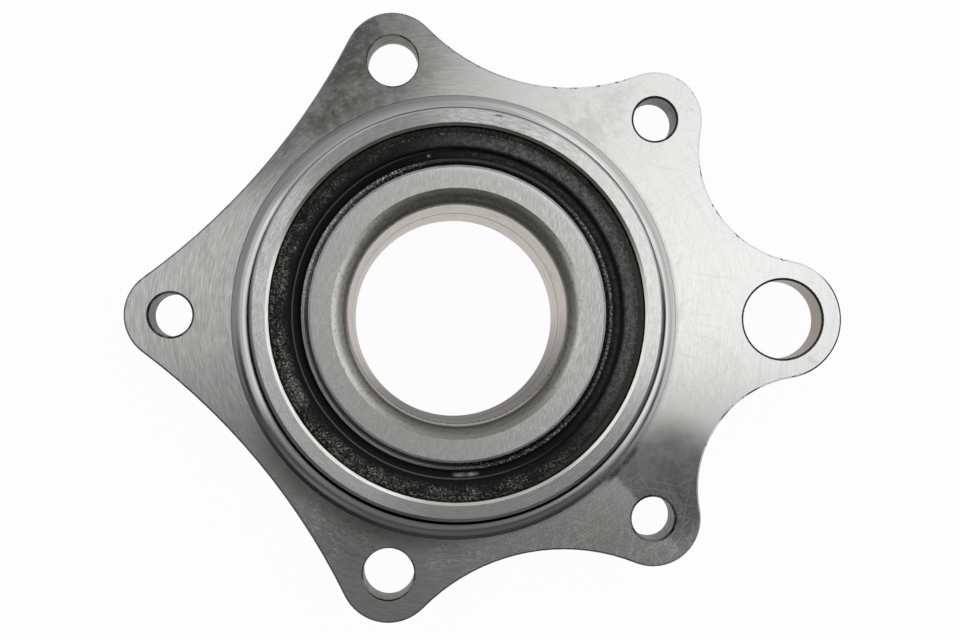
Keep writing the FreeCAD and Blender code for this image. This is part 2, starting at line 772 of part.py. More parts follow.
parts = [
    make_flanged_outer_ring(),
    make_inner_ring("inner_ring_front", False),
    make_inner_ring("inner_ring_rear", True),
    make_ring_clip(),
    make_cage("cage_front", False),
    make_cage("cage_rear", True),
    make_seal_case("seal_case_front", False),
    make_seal_case("seal_case_rear", True),
    make_seal_rubber("seal_rubber_front", False),
    make_seal_rubber("seal_rubber_rear", True),
    make_slinger("slinger_front", False),
    make_slinger("slinger_rear", True),
]
for position in range(int(sized("balls_per_row").number)):
    parts.append(make_ball(f"ball_front_{position + 1:02d}", position, 1))
    parts.append(make_ball(f"ball_rear_{position + 1:02d}", position, -1))
doc.recompute()

for item in doc.Objects:
    if "Invalid" in item.State or "Error" in item.State:
        raise RuntimeError(f"{item.Label} failed: {item.State}")
for item in parts:
    if item.Shape.isNull() or not item.Shape.isValid():
        raise RuntimeError(f"{item.Label} has no valid shape")

os.makedirs("parts", exist_ok=True)
for item in parts:
    item.Shape.exportStep(f"parts/{item.Label}.step")
print(f"{len(parts)} parts written")
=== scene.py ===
"""Looks of the flanged wheel hub bearing: steel and rubber finishes, studio, camera."""
import json
import math

import bpy
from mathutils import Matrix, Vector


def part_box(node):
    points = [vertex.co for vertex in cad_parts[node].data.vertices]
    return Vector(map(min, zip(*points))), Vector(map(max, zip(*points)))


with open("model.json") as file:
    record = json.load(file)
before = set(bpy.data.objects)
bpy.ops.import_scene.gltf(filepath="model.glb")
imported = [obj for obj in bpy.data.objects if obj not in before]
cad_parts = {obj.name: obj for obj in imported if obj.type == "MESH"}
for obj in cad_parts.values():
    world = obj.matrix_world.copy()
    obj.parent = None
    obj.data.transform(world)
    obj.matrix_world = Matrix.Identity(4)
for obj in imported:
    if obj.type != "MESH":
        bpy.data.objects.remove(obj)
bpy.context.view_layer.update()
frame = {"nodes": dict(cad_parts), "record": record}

MM = 0.001
nodes = frame["nodes"]

# Places of the bearing, read from the frame
ring_low, ring_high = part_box("flanged_outer_ring")
inner_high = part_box("inner_ring_front")[1]
ring_face = ring_high.z
back_face = ring_low.z
mounts = {mount["name"]: mount for mount in frame["record"]["mounts"]}
bore_radius = mounts["hub_bore"]["dims"]["r_mm"] * MM
spigot_radius = mounts["spigot"]["dims"]["r_mm"] * MM
relief_radius = 49.55 * MM
bead_radius = 33.75 * MM
flange_back = mounts["flange_back"]["pos_m"][2]
spigot_lead_in = 1.5 * MM
case_inner_radius = 37.1 * MM
smear_radius = 32.9 * MM
nick_radius = 41.3 * MM

# Limits between one surface and the next
relief_top = 6.0 * MM
ring_face_width = 1.2 * MM
mouth_depth = 1.0 * MM
hole_edge_width = 0.7 * MM
inner_corner_width = 3.0 * MM
floor_gap = 0.02 * MM

# Places of single marks, in millimetres
THUMB_MARK = (31.0, 47.5, 0.0)
RUST_SPOT = (-21.0, 46.0, 0.0)
DARK_REFLECTION_SPOT = (48.0, -37.0, 0.0)
RELIEF_REFLECTION_SPOT = (37.5, -32.4, 0.0)
SCUFF_BELOW = (1.0, -54.5, 0.0)
SCUFF_LEFT = (-29.0, -47.0, 0.0)
SCUFF_RIGHT = (52.0, -48.0, 0.0)
GRIME_SPOT = (-19.0, -46.0, 0.0)
HATCHED_PLACE = (32.0, -52.0, 0.0)
EAR_TIP = (86.0, -3.0, 0.0)
RIGHT_KNOCK = (66.5, -15.5, 0.0)
LEFT_KNOCK = (59.5, -20.5, 0.0)
FACE_NICK = (8.1, 40.5, ring_face / MM)
LEFT_SMEAR = (0.9, -32.9, 0.0)
RIGHT_SMEAR = (3.2, -32.7, 0.0)
GREASE_DROP = (-6.1, 32.4, 0.0)
ROOT_SHADE_CENTRE = (0.60 * MM, 0.60 * MM, 0.0)

# Linear colours of the steel
WHITE_STEEL = (0.80, 0.80, 0.785)
GREY_STEEL = (0.62, 0.62, 0.61)
WARM_STEEL = (0.50, 0.44, 0.38)

# Linear colours of scratches and pits, and of the moulded cages
HAIRLINE = (0.9, 0.9, 0.88, 1.0)
PIT = (0.16, 0.16, 0.15, 1.0)
GROUND_HAIRLINE = (0.95, 0.95, 0.93, 1.0)
GROUND_PIT = (0.2, 0.2, 0.19, 1.0)
PLAIN_PIT = (0.12, 0.12, 0.11, 1.0)
CAGE_DARK = (0.46, 0.34, 0.18, 1.0)
CAGE_LIGHT = (0.62, 0.50, 0.30, 1.0)

# Linear colours of wear, grease and dirt, and of painted highlights, reflections and shade
FLANGE_HIGHLIGHT_STEEL = (0.83, 0.83, 0.815, 1.0)
HANDLED_STEEL = (0.70, 0.70, 0.685, 1.0)
THUMBED_STEEL = (0.50, 0.50, 0.48, 1.0)
FRESH_STEEL_AND_HIGHLIGHT = (0.97, 0.97, 0.96, 1.0)
FACE_HIGHLIGHT = (0.97, 0.97, 0.955, 1.0)
BRIGHT_RIM = (0.97, 0.97, 0.95, 1.0)
PALE_EDGE = (0.95, 0.95, 0.94, 1.0)
PALE_FLECK = (0.55, 0.55, 0.53, 1.0)
BRIGHT_LEAD_IN = (0.78, 0.78, 0.76, 1.0)
LEAD_IN_SHADE = (0.15, 0.15, 0.14, 1.0)
LEAD_IN_GRAIN = (0.10, 0.10, 0.095, 1.0)
FACE_SHADE = (0.20, 0.20, 0.195, 1.0)
SCRATCHED_FACE = (0.40, 0.40, 0.39, 1.0)
HATCH_GREY = (0.36, 0.36, 0.35, 1.0)
SOFT_SHADOW = (0.30, 0.30, 0.295, 1.0)
LOWER_SHADOW = (0.25, 0.25, 0.245, 1.0)
LEFT_SHADOW = (0.22, 0.22, 0.22, 1.0)
EDGE_LINE = (0.12, 0.12, 0.12, 1.0)
EAR_STAIN = (0.090, 0.087, 0.080, 1.0)
DARK_REFLECTION_GREY = (0.15, 0.15, 0.15, 1.0)
RUST = (0.20, 0.12, 0.10, 1.0)
HAND_MARKS = (0.20, 0.14, 0.10, 1.0)
BROWN_GRIME_AND_SHADE = (0.16, 0.13, 0.11, 1.0)
ROOT_SHADE_BROWN = (0.05, 0.042, 0.034, 1.0)
ROOT_SHADE_BLACK = (0.006, 0.006, 0.006, 1.0)
DARK_LEAD_IN_AND_SHADE = (0.012, 0.010, 0.007, 1.0)
FOOT_BLACK = (0.002, 0.002, 0.002, 1.0)
MOUTH_SHADE = (0.10, 0.10, 0.085, 1.0)
BORE_SHADE = (0.05, 0.045, 0.038, 1.0)
SHEET_SHADE = (0.018, 0.018, 0.018, 1.0)
GREASE_GLINT = (0.90, 0.90, 0.88, 1.0)
EDGE_SHADE = (0.07, 0.07, 0.07, 1.0)
HOLE_GRIME = (0.05, 0.05, 0.047, 1.0)
NICK_BLACK = (0.04, 0.04, 0.04, 1.0)
STREAK_BLACK = (0.03, 0.03, 0.03, 1.0)
KNOCK_BLACK = (0.02, 0.02, 0.02, 1.0)
TOOL_STREAK = (0.42, 0.41, 0.38, 1.0)
TOOL_SHADOW = (0.02, 0.02, 0.018, 1.0)
CASE_CRUMBS = (0.32, 0.32, 0.29, 1.0)
CASE_DUST = (0.075, 0.073, 0.060, 1.0)
RUBBER_BLACK = (0.004, 0.004, 0.004, 1.0)
RUBBER_GRAIN = (0.013, 0.013, 0.0135, 1.0)
RUBBER_SHEEN = (0.25, 0.25, 0.255, 1.0)
RUBBER_CRUMBS = (0.50, 0.50, 0.47, 1.0)
RUBBER_BEAD = (0.20, 0.20, 0.20, 1.0)
GREASE = (0.80, 0.79, 0.74, 1.0)

# Light of the room, as shares of white
PANEL_RIGHT = 1.25
PANEL_LEFT = 0.53
FRONT_SHADE = 0.0

# Camera: place in millimetres, turn in degrees, lens in millimetres
CAMERA_PLACE = (-7.2, -7.87, 337.2)
CAMERA_TURN = (1.211, -2.195, 0.375)
CAMERA_LENS = 56.8


class Graph:
    """Short ways to add and join the nodes of one material or group."""

    def __init__(self, tree):
        self.tree = tree

    def add(self, kind, **settings):
        """A node of this kind with its settings."""
        node = self.tree.nodes.new(kind)
        for name, value in settings.items():
            setattr(node, name, value)
        return node

    def put(self, socket, value):
        """Join a socket to another, or give it a value."""
        if isinstance(value, bpy.types.NodeSocket):
            self.tree.links.new(value, socket)
        else:
            socket.default_value = value

    def math(self, operation, first, second=None):
        """One math node."""
        node = self.add("ShaderNodeMath", operation=operation)
        self.put(node.inputs[0], first)
        if second is not None:
            self.put(node.inputs[1], second)
        return node.outputs[0]

    def times(self, first, second):
        """The product of two values."""
        return self.math("MULTIPLY", first, second)

    def plus(self, first, second):
        """The sum of two values."""
        return self.math("ADD", first, second)

    def minus(self, first, second):
        """The first value less the second."""
        return self.math("SUBTRACT", first, second)

    def over(self, first, second):
        """The first value divided by the second."""
        return self.math("DIVIDE", first, second)

    def larger(self, first, second):
        """The larger of two values."""
        return self.math("MAXIMUM", first, second)

    def ramp(self, value, low, high, start=0.0, end=1.0):
        """A value stretched from low..high to start..end, smooth and clamped."""
        node = self.add("ShaderNodeMapRange", interpolation_type="SMOOTHSTEP")
        self.put(node.inputs["Value"], value)
        self.put(node.inputs["From Min"], low)
        self.put(node.inputs["From Max"], high)
        self.put(node.inputs["To Min"], start)
        self.put(node.inputs["To Max"], end)
        return node.outputs["Result"]

    def blend(self, share, first, second):
        """A colour mixed from two."""
        node = self.add("ShaderNodeMix", data_type="RGBA")
        self.put(node.inputs[0], share)
        self.put(node.inputs[6], first)
        self.put(node.inputs[7], second)
        return node.outputs[2]

    def join(self, x, y, z):
        """A vector from three values."""
        node = self.add("ShaderNodeCombineXYZ")
        for socket, value in zip(node.inputs, (x, y, z)):
            self.put(socket, value)
        return node.outputs[0]

    def noise(self, vector, scale, detail=2.0, roughness=0.5, distortion=0.0):
        """A noise value."""
        node = self.add("ShaderNodeTexNoise")
        self.put(node.inputs["Vector"], vector)
        node.inputs["Scale"].default_value = scale
        node.inputs["Detail"].default_value = detail
        node.inputs["Roughness"].default_value = roughness
        node.inputs["Distortion"].default_value = distortion
        return node.outputs["Fac"]

    def place(self):
        """The place on the object, in metres."""
        return self.add("ShaderNodeTexCoord").outputs["Object"]

    def around_axis(self, place):
        """Distance from the bearing axis, the unit direction away from it, and the height."""
        split = self.add("ShaderNodeSeparateXYZ")
        self.put(split.inputs[0], place)
        x, y, z = split.outputs
        squared = self.plus(self.times(x, x), self.times(y, y))
        distance = self.larger(self.math("SQRT", squared), 0.001)
        return distance, self.over(x, distance), self.over(y, distance), z

    def towards(self, place, azimuth, start, end, low=0.0, high=1.0):
        """A share that grows as the place lies further round towards an azimuth."""
        across, up = self.around_axis(place)[1:3]
        turn = math.radians(azimuth)
        along = self.plus(self.times(across, math.cos(turn)), self.times(up, math.sin(turn)))
        return self.ramp(along, start, end, low, high)

    def near(self, place, spot_mm, inner_mm, outer_mm):
        """A share that is one at a spot of the object and fades out around it."""
        away = self.add("ShaderNodeVectorMath", operation="DISTANCE")
        self.put(away.inputs[0], place)
        away.inputs[1].default_value = [part * MM for part in spot_mm]
        return self.ramp(away.outputs["Value"], inner_mm * MM, outer_mm * MM, 1.0, 0.0)

    def on_circle(self, distance, radius, inner_mm, outer_mm):
        """A share that is one on a circle around the axis and fades out on both sides of it."""
        away = self.math("ABSOLUTE", self.minus(distance, radius))
        return self.ramp(away, inner_mm * MM, outer_mm * MM, 1.0, 0.0)

    def group(self, tree, **inputs):
        """A node group with values for its inputs."""
        node = self.add("ShaderNodeGroup")
        node.node_tree = tree
        for name, value in inputs.items():
            self.put(node.inputs[name.replace("_", " ")], value)
        return node.outputs


def new_group(name, inputs, outputs):
    """An empty node group with float inputs and outputs, its graph, and its two end nodes."""
    tree = bpy.data.node_groups.new(name, "ShaderNodeTree")
    for label, value in inputs:
        socket = tree.interface.new_socket(label, in_out="INPUT", socket_type="NodeSocketFloat")
        socket.default_value = value
    for label in outputs:
        tree.interface.new_socket(label, in_out="OUTPUT", socket_type="NodeSocketFloat")
    graph = Graph(tree)
    return tree, graph, graph.add("NodeGroupInput").outputs, graph.add("NodeGroupOutput").inputs


def turning_marks_group():
    """Fine grooves that a lathe leaves around the bearing axis, broken into short streaks."""
    tree, graph, given, out = new_group(
        "Turning marks", [("Pitch mm", 0.4), ("Streak length", 12.0)], ["Height", "Tone"])
    distance, across, up, z = graph.around_axis(graph.place())
    from_axis = graph.over(distance, MM)
    along_axis = graph.over(z, MM)
    spiral = graph.over(graph.plus(from_axis, along_axis), given["Pitch mm"])
    reach = graph.over(100.0, given["Streak length"])
    vector = graph.join(graph.times(across, reach), graph.times(up, reach), spiral)
    fine = graph.noise(vector, 1.0, detail=3.0, roughness=0.6)
    graph.put(out["Height"], fine)
    broad_reach = graph.times(reach, 0.35)
    broad_vector = graph.join(graph.times(across, broad_reach),
                              graph.times(up, broad_reach),
                              graph.times(spiral, 0.22))
    broad = graph.noise(broad_vector, 1.0, detail=2.0)
    graph.put(out["Tone"], graph.plus(graph.times(fine, 0.88), graph.times(broad, 0.12)))
    return tree


def grinding_marks_group():
    """Short straight streaks that a surface grinder leaves, all much the same way."""
    tree, graph, given, out = new_group(
        "Grinding marks", [("Width mm", 0.25), ("Length mm", 3.0)], ["Height"])
    turned = graph.add("ShaderNodeMapping")
    graph.put(turned.inputs["Vector"], graph.place())
    turned.inputs["Rotation"].default_value[2] = math.radians(8.0)
    split = graph.add("ShaderNodeSeparateXYZ")
    graph.put(split.inputs[0], turned.outputs[0])
    x, y, z = split.outputs
    bend = graph.times(graph.noise(turned.outputs[0], 120.0), 1.5 * MM)
    across = graph.over(graph.over(graph.plus(x, bend), MM), given["Width mm"])
    along = graph.over(graph.over(y, MM), given["Length mm"])
    streaks = graph.noise(graph.join(across, along, z), 1.0, detail=4.0, roughness=0.65)
    graph.put(out["Height"], streaks)
    return tree


def scratches_group():
    """Straight hairline scratches that cross each other in several directions."""
    tree, graph, given, out = new_group(
        "Scratches", [("Amount", 0.5), ("Length mm", 6.0), ("Width mm", 0.12)], ["Mask"])
    place = graph.place()
    total = 0.0
    for index, angle in enumerate((12.0, 57.0, 101.0, 148.0)):
        turned = graph.add("ShaderNodeMapping")
        graph.put(turned.inputs["Vector"], place)
        turned.inputs["Rotation"].default_value[2] = math.radians(angle)
        turned.inputs["Location"].default_value[0] = 0.013 * index
        split = graph.add("ShaderNodeSeparateXYZ")
        graph.put(split.inputs[0], turned.outputs[0])
        long_way = graph.over(graph.over(split.outputs[0], MM), given["Length mm"])
        short_way = graph.over(graph.over(split.outputs[1], MM), given["Width mm"])
        cells = graph.noise(graph.join(long_way, graph.times(short_way, 0.5), float(index)),
                            1.0, detail=1.0)
        limit = graph.minus(0.80, graph.times(given["Amount"], 0.16))
        one = graph.ramp(cells, limit, graph.plus(limit, 0.06))
        total = graph.larger(total, one)
    graph.put(out["Mask"], total)
    return tree


def specks_group():
    """Small grains and pits of chosen size, thinned out by a slow pattern."""
    tree, graph, given, out = new_group("Specks", [("Size mm", 0.3), ("Amount", 0.5)], ["Mask"])
    place = graph.place()
    scaled = graph.add("ShaderNodeVectorMath", operation="SCALE")
    graph.put(scaled.inputs[0], place)
    graph.put(scaled.inputs["Scale"], graph.over(1.0 / MM, given["Size mm"]))
    fine = graph.noise(scaled.outputs[0], 1.0, detail=2.0, roughness=0.7)
    slow = graph.noise(place, 160.0, detail=2.0)
    limit = graph.minus(0.86, graph.times(given["Amount"], 0.3))
    limit = graph.minus(limit, graph.times(slow, 0.12))
    graph.put(out["Mask"], graph.ramp(fine, limit, graph.plus(limit, 0.08)))
    return tree


turning_marks = turning_marks_group()
grinding_marks = grinding_marks_group()
scratches = scratches_group()
specks = specks_group()


def new_material(name):
    """A material with its shader and its graph."""
    material = bpy.data.materials.new(name)
    material.use_nodes = True
    graph = Graph(material.node_tree)
    shader = material.node_tree.nodes["Principled BSDF"]
    return material, graph, shader


def bumped(graph, shader, height, depth_mm):
    """Send a height through a bump node to the shader's normal."""
    bump = graph.add("ShaderNodeBump")
    bump.inputs["Strength"].default_value = 1.0
    bump.inputs["Distance"].default_value = depth_mm * MM
    graph.put(bump.inputs["Height"], height)
    graph.put(shader.inputs["Normal"], bump.outputs[0])


def around_tangent(graph, shader, amount):
    """Stretch highlights across marks that run around the bearing axis."""
    shader.inputs["Anisotropic"].default_value = amount
    shader.inputs["Anisotropic Rotation"].default_value = 0.25
    tangent = graph.add("ShaderNodeTangent", direction_type="RADIAL", axis="Z")
    graph.put(shader.inputs["Tangent"], tangent.outputs[0])


def turned_steel(name, colour, rough, pitch=0.4, depth=0.004, streak=12.0, contrast=0.25,
                 scratch=0.35, speck=0.25, stretch=0.5, swing=0.10, wear_and_light=None):
    """Steel turned on a lathe, with light scratches, dark pits and its own wear and painted light."""
    material, graph, shader = new_material(name)
    shader.inputs["Metallic"].default_value = 1.0
    marks = graph.group(turning_marks, Pitch_mm=pitch, Streak_length=streak)
    lines = graph.group(scratches, Amount=scratch, Length_mm=7.0, Width_mm=0.14)["Mask"]
    pits = graph.group(specks, Size_mm=0.45, Amount=speck)["Mask"]
    darker = tuple(part * (1 - contrast) for part in colour) + (1.0,)
    lighter = tuple(min(part * (1 + contrast * 0.45), 0.97) for part in colour) + (1.0,)
    tone = graph.ramp(marks["Tone"], 0.32, 0.68)
    shade = graph.blend(tone, darker, lighter)
    shade = graph.blend(graph.times(lines, 0.35), shade, HAIRLINE)
    shade = graph.blend(graph.times(pits, 0.55), shade, PIT)
    roughness = graph.plus(rough, graph.times(graph.minus(tone, 0.5), -swing))
    if wear_and_light:
        shade, roughness = wear_and_light(graph, shade, roughness)
    graph.put(shader.inputs["Base Color"], shade)
    graph.put(shader.inputs["Roughness"], roughness)
    height = graph.minus(marks["Height"], graph.times(lines, 0.5))
    height = graph.minus(height, graph.times(pits, 1.2))
    bumped(graph, shader, height, depth)
    around_tangent(graph, shader, stretch)
    return material


def flange_wear_and_painted_light(graph, shade, roughness):
    """Dark stains, pale scuffs and crossed hatch on the flange face, with a painted highlight at the
    right, painted dark reflections and painted shade beside the relief.
    """
    place = graph.place()
    mottle = graph.noise(place, 110.0, detail=5.0, roughness=0.65, distortion=0.6)
    fine = graph.noise(place, 520.0, detail=4.0, roughness=0.7)
    mixed = graph.plus(graph.times(mottle, 0.65), graph.times(fine, 0.35))

    split = graph.add("ShaderNodeSeparateXYZ")
    graph.put(split.inputs[0], place)
    x, y, z = split.outputs
    # Painted highlight: the right side of the flange is painted flat and light, with a faint mottle,
    # where it shines brightest
    painted_right_highlight = graph.towards(place, 24.0, 0.1, 0.75, 0.0, 0.94)
    smooth = graph.blend(graph.ramp(mottle, 0.60, 0.75), FLANGE_HIGHLIGHT_STEEL, HANDLED_STEEL)
    shade = graph.blend(painted_right_highlight, shade, smooth)
    thumbed = graph.times(graph.near(place, THUMB_MARK, 4.0, 14.0), graph.ramp(mixed, 0.44, 0.60))
    shade = graph.blend(graph.times(thumbed, 0.40), shade, THUMBED_STEEL)

    # Stained ear of the upper wide hole, darkest at its left
    ear = graph.times(graph.ramp(x, -20.0 * MM, 8.0 * MM, 1.0, 0.0),
                      graph.ramp(graph.minus(y, graph.times(x, 0.45)),
                                 42.0 * MM, 58.0 * MM))
    patches = graph.ramp(mixed, 0.40, 0.60, 0.66, 1.0)
    stain = graph.times(ear, patches)
    shade = graph.blend(graph.times(stain, 0.92), shade, EAR_STAIN)
    rust = graph.times(graph.near(place, RUST_SPOT, 3.0, 9.0), graph.ramp(fine, 0.50, 0.62))
    shade = graph.blend(graph.times(rust, 0.4), shade, RUST)
    flecks = graph.times(ear, graph.ramp(fine, 0.56, 0.66))
    shade = graph.blend(graph.times(flecks, 0.35), shade, PALE_FLECK)
    roughness = graph.plus(roughness, graph.times(stain, 0.12))

    # Painted dark reflection above the lower narrow hole, with a firm edge at its left
    right_of_edge = graph.plus(graph.times(x, 0.753), graph.times(y, 0.659))
    edge_wave = graph.times(graph.minus(fine, 0.5), 1.6 * MM)
    right_of_edge = graph.plus(right_of_edge, edge_wave)
    firm = graph.ramp(right_of_edge, 3.4 * MM, 4.7 * MM)
    dark_reflection = graph.times(firm, graph.near(place, DARK_REFLECTION_SPOT, 8.0, 18.0))
    dark_reflection = graph.times(dark_reflection, graph.ramp(mixed, 0.35, 0.65, 0.75, 1.0))
    shade = graph.blend(graph.times(dark_reflection, 0.85), shade, DARK_REFLECTION_GREY)
    distance = graph.around_axis(place)[0]
    # Painted dark reflection: a dark streak just outside the relief, where the dark reflection above
    # meets it
    streak = graph.times(graph.on_circle(distance, relief_radius + 0.3 * MM, 0.3, 1.2),
                         graph.near(place, RELIEF_REFLECTION_SPOT, 3.2, 7.5))
    streak = graph.times(streak, graph.ramp(fine, 0.36, 0.50, 0.35, 1.0))
    shade = graph.blend(graph.times(streak, 0.9), shade, STREAK_BLACK)

    # Pale scuffs along the lower edge, and grime beside the relief
    scuffed = graph.larger(graph.near(place, SCUFF_BELOW, 4.0, 12.0),
                           graph.near(place, SCUFF_LEFT, 4.0, 13.0))
    scuffed = graph.larger(scuffed, graph.near(place, SCUFF_RIGHT, 3.0, 9.0))
    brushed = graph.group(turning_marks, Pitch_mm=0.35, Streak_length=2.5)["Height"]
    grit = graph.noise(place, 1500.0, detail=3.0, roughness=0.7)
    scuffs = graph.larger(graph.ramp(brushed, 0.46, 0.68),
                          graph.times(graph.ramp(grit, 0.56, 0.72), 0.6))
    scuffs = graph.times(scuffs, graph.ramp(mixed, 0.44, 0.58, 0.15, 1.0))
    scuffs = graph.times(scuffed, scuffs)
    shade = graph.blend(graph.times(scuffs, 0.20), shade, FRESH_STEEL_AND_HIGHLIGHT)
    roughness = graph.plus(roughness, graph.times(scuffs, 0.10))
    grime_and_shade = graph.times(graph.near(place, GRIME_SPOT, 4.0, 14.0),
                        graph.ramp(graph.plus(graph.times(mixed, 0.6),
                                              graph.times(grit, 0.4)), 0.42, 0.58))
    shade = graph.blend(graph.times(grime_and_shade, 0.5), shade, BROWN_GRIME_AND_SHADE)

    # Crossed hatch of the lower flange, a painted soft shadow beside the relief on the right, and
    # painted brown shade beside it at the lower left
    crossed = graph.group(scratches, Amount=1.15, Length_mm=16.0, Width_mm=0.30)["Mask"]
    streaks = graph.group(grinding_marks, Width_mm=0.22, Length_mm=4.0)["Height"]
    hatch = graph.larger(crossed, graph.times(graph.ramp(streaks, 0.45, 0.65), 0.4))
    hatch = graph.times(hatch, graph.larger(0.12, graph.near(place, HATCHED_PLACE, 14.0, 32.0)))
    shade = graph.blend(graph.times(hatch, 0.45), shade, HATCH_GREY)
    roughness = graph.plus(roughness, graph.times(hatch, 0.13))
    rollover_shade = graph.times(graph.ramp(distance, relief_radius, 50.5 * MM, 1.0, 0.0),
                         graph.towards(place, 345.0, 0.2, 0.8, 0.0, 0.40))
    shade = graph.blend(rollover_shade, shade, SOFT_SHADOW)
    # Painted shade: the flange beside the relief is painted brown and darker on the lower left, beside
    # the spigot
    beside_relief = graph.times(graph.ramp(distance, relief_radius, 54.5 * MM, 1.0, 0.0),
                                graph.towards(place, 242.0, 0.75, 0.97))
    return graph.blend(graph.times(beside_relief, 0.6), shade, BROWN_GRIME_AND_SHADE), roughness


def shoulder_darkening_and_shade(graph, shade, roughness):
    """The spigot's lead-in has a darker finish, darkest on the lower side as painted shade, and a
    painted black shadow line at its foot.
    """
    place = graph.place()
    darkening = graph.towards(place, 268.0, -0.45, 0.55, 0.40, 0.985)
    shade = graph.blend(darkening, shade, DARK_LEAD_IN_AND_SHADE)
    z = graph.around_axis(place)[3]
    # Painted shadow: a black line at the foot of the lead-in all round, a little weaker at the left
    # and wider below
    foot = graph.times(graph.towards(place, 345.0, -0.90, -0.20, 0.75, 1.0),
                       graph.ramp(z, ring_face - 1.0 * MM, ring_face - 0.6 * MM, 1.0, 0.0))
    lower = graph.times(graph.towards(place, 268.0, 0.35, 0.80),
                        graph.ramp(z, ring_face - 0.55 * MM, ring_face - 0.20 * MM, 1.0, 0.0))
    foot = graph.larger(foot, lower)
    return graph.blend(foot, shade, FOOT_BLACK), roughness


def relief_painted_light(graph, shade, roughness):
    """Painted brown and black shade at the root of the relief, a painted pale highlight band, painted
    shadows and a painted dark line at its edge.
    """
    place = graph.place()
    distance = graph.around_axis(place)[0]
    off_centre = graph.add("ShaderNodeVectorMath", operation="SUBTRACT")
    graph.put(off_centre.inputs[0], place)
    off_centre.inputs[1].default_value = ROOT_SHADE_CENTRE
    root_shade_reach = graph.around_axis(off_centre.outputs[0])[0]
    # Painted shade in the corner at the root of the relief: brown all round, black towards the lower
    # right
    brown = graph.times(graph.towards(place, 300.0, -0.8, 0.6, 0.45, 0.86),
                        graph.ramp(root_shade_reach, 46.25 * MM, 46.50 * MM, 1.0, 0.0))
    brown = graph.times(brown, graph.towards(place, 203.0, 0.85, 0.98, 1.0, 0.4))
    shade = graph.blend(brown, shade, ROOT_SHADE_BROWN)
    black = graph.times(graph.towards(place, 300.0, 0.10, 0.50, 0.0, 0.97),
                        graph.ramp(root_shade_reach, 46.60 * MM, 46.90 * MM, 1.0, 0.0))
    shade = graph.blend(black, shade, ROOT_SHADE_BLACK)
    # Painted highlight: a pale band on the lower side beside the black shade
    pale = graph.times(graph.towards(place, 268.0, 0.3, 0.8),
                       graph.times(graph.ramp(root_shade_reach, 46.65 * MM, 47.0 * MM),
                                   graph.ramp(distance, 46.9 * MM, 47.9 * MM, 1.0, 0.0)))
    shade = graph.blend(pale, shade, FRESH_STEEL_AND_HIGHLIGHT)
    roughness = graph.plus(roughness, graph.times(pale, 0.30))
    lower_shadow = graph.times(graph.towards(place, 262.0, 0.3, 0.8, 0.0, 0.45),
                               graph.ramp(distance, 47.9 * MM, 48.8 * MM))
    shade = graph.blend(lower_shadow, shade, LOWER_SHADOW)
    # Painted shade: a thin dark line at the relief's edge on the left
    line = graph.times(graph.towards(place, 180.0, -0.1, 0.5, 0.0, 0.5),
                       graph.ramp(distance, relief_radius - 0.30 * MM, relief_radius - 0.12 * MM))
    shade = graph.blend(line, shade, EDGE_LINE)
    shadow = graph.times(graph.towards(place, 175.0, 0.0, 0.7, 0.0, 0.55),
                         graph.ramp(distance, 46.6 * MM, 47.3 * MM))
    shade = graph.blend(shadow, shade, LEFT_SHADOW)
    outer_shadow = graph.times(graph.towards(place, 35.0, 0.0, 0.7, 0.0, 0.45),
                               graph.ramp(distance, 47.9 * MM, 49.0 * MM))
    return graph.blend(outer_shadow, shade, SOFT_SHADOW), roughness


def ring_face_wear_and_light(graph, shade, roughness):
    """The spigot's end face: a painted highlight on the right, painted shade at the upper left and
    below, scratches, one dark nick.
    """
    place = graph.place()
    # Painted highlight on the right of the face, and painted shade at the upper left and below
    face_right_highlight = graph.towards(place, 20.0, 0.55, 0.95, 0.0, 0.85)
    shade = graph.blend(face_right_highlight, shade, FACE_HIGHLIGHT)
    side_shade = graph.larger(graph.towards(place, 118.0, 0.88, 0.99, 0.0, 0.55),
                        graph.towards(place, 292.0, 0.60, 0.92, 0.0, 0.42))
    shade = graph.blend(side_shade, shade, FACE_SHADE)
    distance = graph.around_axis(place)[0]
    hatch = graph.group(scratches, Amount=1.1, Length_mm=8.0, Width_mm=0.16)["Mask"]
    hatch = graph.times(hatch, graph.towards(place, 150.0, -0.6, 0.2, 0.10, 0.30))
    shade = graph.blend(hatch, shade, SCRATCHED_FACE)
    nick = graph.times(graph.on_circle(distance, nick_radius, 0.06, 0.22),
                       graph.near(place, FACE_NICK, 0.5, 0.95))
    return graph.blend(graph.times(nick, 0.85), shade, STREAK_BLACK), roughness


def lead_in_grain_and_light(graph, shade, roughness):
    """The lead-in is painted bright beside the face as a highlight, fading towards the bore, painted
    darker below as shade, with grain and a painted bright rim below.
    """
    place = graph.place()
    distance = graph.around_axis(place)[0]
    grain = graph.noise(place, 1300.0, detail=3.0, roughness=0.7)
    # Painted highlight beside the face
    bright = graph.times(graph.ramp(distance, 23.7 * MM, 25.0 * MM, 0.0, 0.9),
                         graph.ramp(grain, 0.3, 0.7, 0.55, 1.0))
    shade = graph.blend(bright, shade, BRIGHT_LEAD_IN)
    # Painted shade on the lower side
    side_shade = graph.towards(place, 274.0, 0.35, 0.95, 0.0, 0.62)
    shade = graph.blend(side_shade, shade, LEAD_IN_SHADE)
    shade = graph.blend(graph.ramp(grain, 0.50, 0.66, 0.0, 0.5), shade, LEAD_IN_GRAIN)
    # Painted highlight: a bright rim at the bore on the lower side
    rim = graph.times(graph.on_circle(distance, bore_radius + 0.35 * MM, 0.10, 0.30),
                      graph.towards(place, 258.0, 0.2, 0.8, 0.0, 0.8))
    return graph.blend(rim, shade, BRIGHT_RIM), roughness


